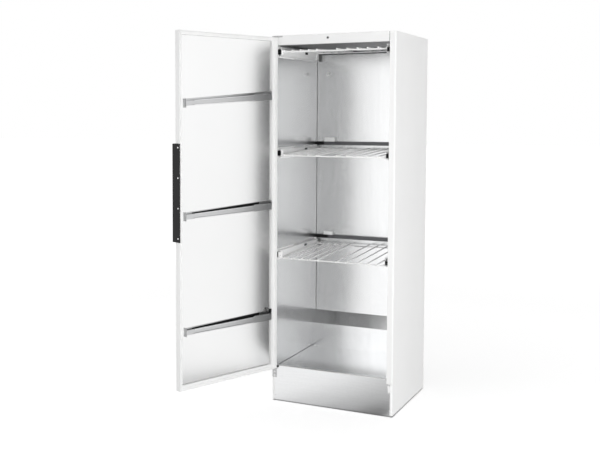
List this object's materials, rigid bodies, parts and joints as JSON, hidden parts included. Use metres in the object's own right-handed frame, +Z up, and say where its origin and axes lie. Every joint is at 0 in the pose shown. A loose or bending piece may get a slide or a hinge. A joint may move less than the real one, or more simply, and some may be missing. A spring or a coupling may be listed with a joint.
{
  "type": "drying cabinet",
  "caption": "Tall free-standing drying cabinet for laundry, with a hinged door, pull-out wire racks, hanging rails in the door and a blower with heater under the floor.",
  "frame": {"origin": "on the floor, at the middle of the case's width and depth", "axes": "+Z up, +X to the right seen from the front, -Y towards the user"},
  "size_m": [0.8254, 1.0995, 1.768],
  "materials": {
    "white_steel": "satin powder coat",
    "zinc_sheet": "galvanised sheet",
    "lining_sheet": "smooth bright galvanised sheet",
    "door_lining": "satin galvanised sheet",
    "hinge_steel": "light grey coat",
    "slide_steel": "white electro-coat",
    "coated_wire": "gloss white plastic coating",
    "black_plastic": "fine texture",
    "dark_steel": "satin",
    "bright_steel": "plated",
    "seal_rubber": "soft white",
    "foam": "cut foam",
    "control_gloss": "gloss black",
    "button_plastic": "fine matt",
    "heater_steel": "heat-tinted"
  },
  "bodies": {
    "cabinet": {"side_panel_left": "white_steel", "side_panel_right": "white_steel", "header": "white_steel", "top_panel": "white_steel", "back_panel": "zinc_sheet", "base_pan": "zinc_sheet", "plinth": "zinc_sheet", "plinth_screws": "bright_steel", "levelling_feet": "dark_steel", "liner_left": "lining_sheet", "liner_right": "lining_sheet", "liner_ceiling": "dark_steel", "liner_back": "lining_sheet", "liner_duct": "lining_sheet", "liner_floor": "lining_sheet", "rear_ledges": "dark_steel", "air_sensor": "button_plastic", "door_sensor": "black_plastic", "exhaust_collar": "zinc_sheet", "mains_inlet": "black_plastic", "hinge_lower": "hinge_steel", "hinge_upper": "hinge_steel", "hinge_pins": "bright_steel", "spare_hinge_cover": "white_steel", "slides_fixed_low": "slide_steel", "slides_fixed_mid": "slide_steel", "slides_fixed_top": "slide_steel", "fan_housing": "zinc_sheet", "fan_motor": "dark_steel", "heater": "heater_steel"},
    "door": {"door_skin": "white_steel", "door_liner": "door_lining", "door_core": "foam", "door_gasket": "seal_rubber", "door_grip": "black_plastic", "grip_screws": "bright_steel", "hinge_bushes": "black_plastic", "rail_low": "zinc_sheet", "rail_mid": "zinc_sheet", "rail_top": "zinc_sheet", "rail_brackets": "zinc_sheet", "control_panel": "control_gloss"},
    "start_button_body": {"start_button": "button_plastic"},
    "program_button_body": {"program_button": "button_plastic"},
    "impeller_body": {"fan_impeller": "black_plastic"},
    "rack_low_body": {"rack_low": "coated_wire", "slides_inner_low": "slide_steel", "slide_caps_low": "black_plastic"},
    "slide_mid_low_left_body": {"slide_mid_low_left": "slide_steel"},
    "slide_mid_low_right_body": {"slide_mid_low_right": "slide_steel"},
    "rack_mid_body": {"rack_mid": "coated_wire", "slides_inner_mid": "slide_steel", "slide_caps_mid": "black_plastic"},
    "slide_mid_mid_left_body": {"slide_mid_mid_left": "slide_steel"},
    "slide_mid_mid_right_body": {"slide_mid_mid_right": "slide_steel"},
    "rack_top_body": {"rack_top": "coated_wire", "slides_inner_top": "slide_steel", "slide_caps_top": "black_plastic"},
    "slide_mid_top_left_body": {"slide_mid_top_left": "slide_steel"},
    "slide_mid_top_right_body": {"slide_mid_top_right": "slide_steel"}
  },
  "joints": [
    {"name": "door_hinge", "type": "hinge", "parent": "cabinet", "child": "door", "pos_m": [-0.285, -0.276, 0.94], "axis": [0, 0, 1], "range_deg": [-4, 111.2]},
    {"name": "rack_low_slide", "type": "slide", "parent": "cabinet", "child": "rack_low_body", "axis": [0, 1, 0], "range_m": [-0.35, 0]},
    {"name": "slide_mid_low_left_travel", "type": "slide", "parent": "cabinet", "child": "slide_mid_low_left_body", "axis": [0, 1, 0], "range_m": [-0.175, 0]},
    {"name": "slide_mid_low_right_travel", "type": "slide", "parent": "cabinet", "child": "slide_mid_low_right_body", "axis": [0, 1, 0], "range_m": [-0.175, 0]},
    {"name": "rack_mid_slide", "type": "slide", "parent": "cabinet", "child": "rack_mid_body", "axis": [0, 1, 0], "range_m": [-0.35, 0]},
    {"name": "slide_mid_mid_left_travel", "type": "slide", "parent": "cabinet", "child": "slide_mid_mid_left_body", "axis": [0, 1, 0], "range_m": [-0.175, 0]},
    {"name": "slide_mid_mid_right_travel", "type": "slide", "parent": "cabinet", "child": "slide_mid_mid_right_body", "axis": [0, 1, 0], "range_m": [-0.175, 0]},
    {"name": "rack_top_slide", "type": "slide", "parent": "cabinet", "child": "rack_top_body", "axis": [0, 1, 0], "range_m": [-0.35, 0]},
    {"name": "slide_mid_top_left_travel", "type": "slide", "parent": "cabinet", "child": "slide_mid_top_left_body", "axis": [0, 1, 0], "range_m": [-0.175, 0]},
    {"name": "slide_mid_top_right_travel", "type": "slide", "parent": "cabinet", "child": "slide_mid_top_right_body", "axis": [0, 1, 0], "range_m": [-0.175, 0]},
    {"name": "start_press", "type": "slide", "parent": "door", "child": "start_button_body", "axis": [0.9323, -0.3616, 0], "range_m": [0, 0.0015], "stiffness_N_per_m": 500, "springref_m": -0.002},
    {"name": "program_press", "type": "slide", "parent": "door", "child": "program_button_body", "axis": [0.9323, -0.3616, 0], "range_m": [0, 0.0015], "stiffness_N_per_m": 500, "springref_m": -0.002},
    {"name": "impeller_spin", "type": "hinge", "parent": "cabinet", "child": "impeller_body", "pos_m": [-0.09, -0.01, 0.08], "axis": [0, 0, 1], "continuous": true}
  ],
  "couplings": [
    {"joint": "slide_mid_low_left_travel", "follows": "rack_low_slide", "ratio": 0.5},
    {"joint": "slide_mid_low_right_travel", "follows": "rack_low_slide", "ratio": 0.5},
    {"joint": "slide_mid_mid_left_travel", "follows": "rack_mid_slide", "ratio": 0.5},
    {"joint": "slide_mid_mid_right_travel", "follows": "rack_mid_slide", "ratio": 0.5},
    {"joint": "slide_mid_top_left_travel", "follows": "rack_top_slide", "ratio": 0.5},
    {"joint": "slide_mid_top_right_travel", "follows": "rack_top_slide", "ratio": 0.5}
  ]
}
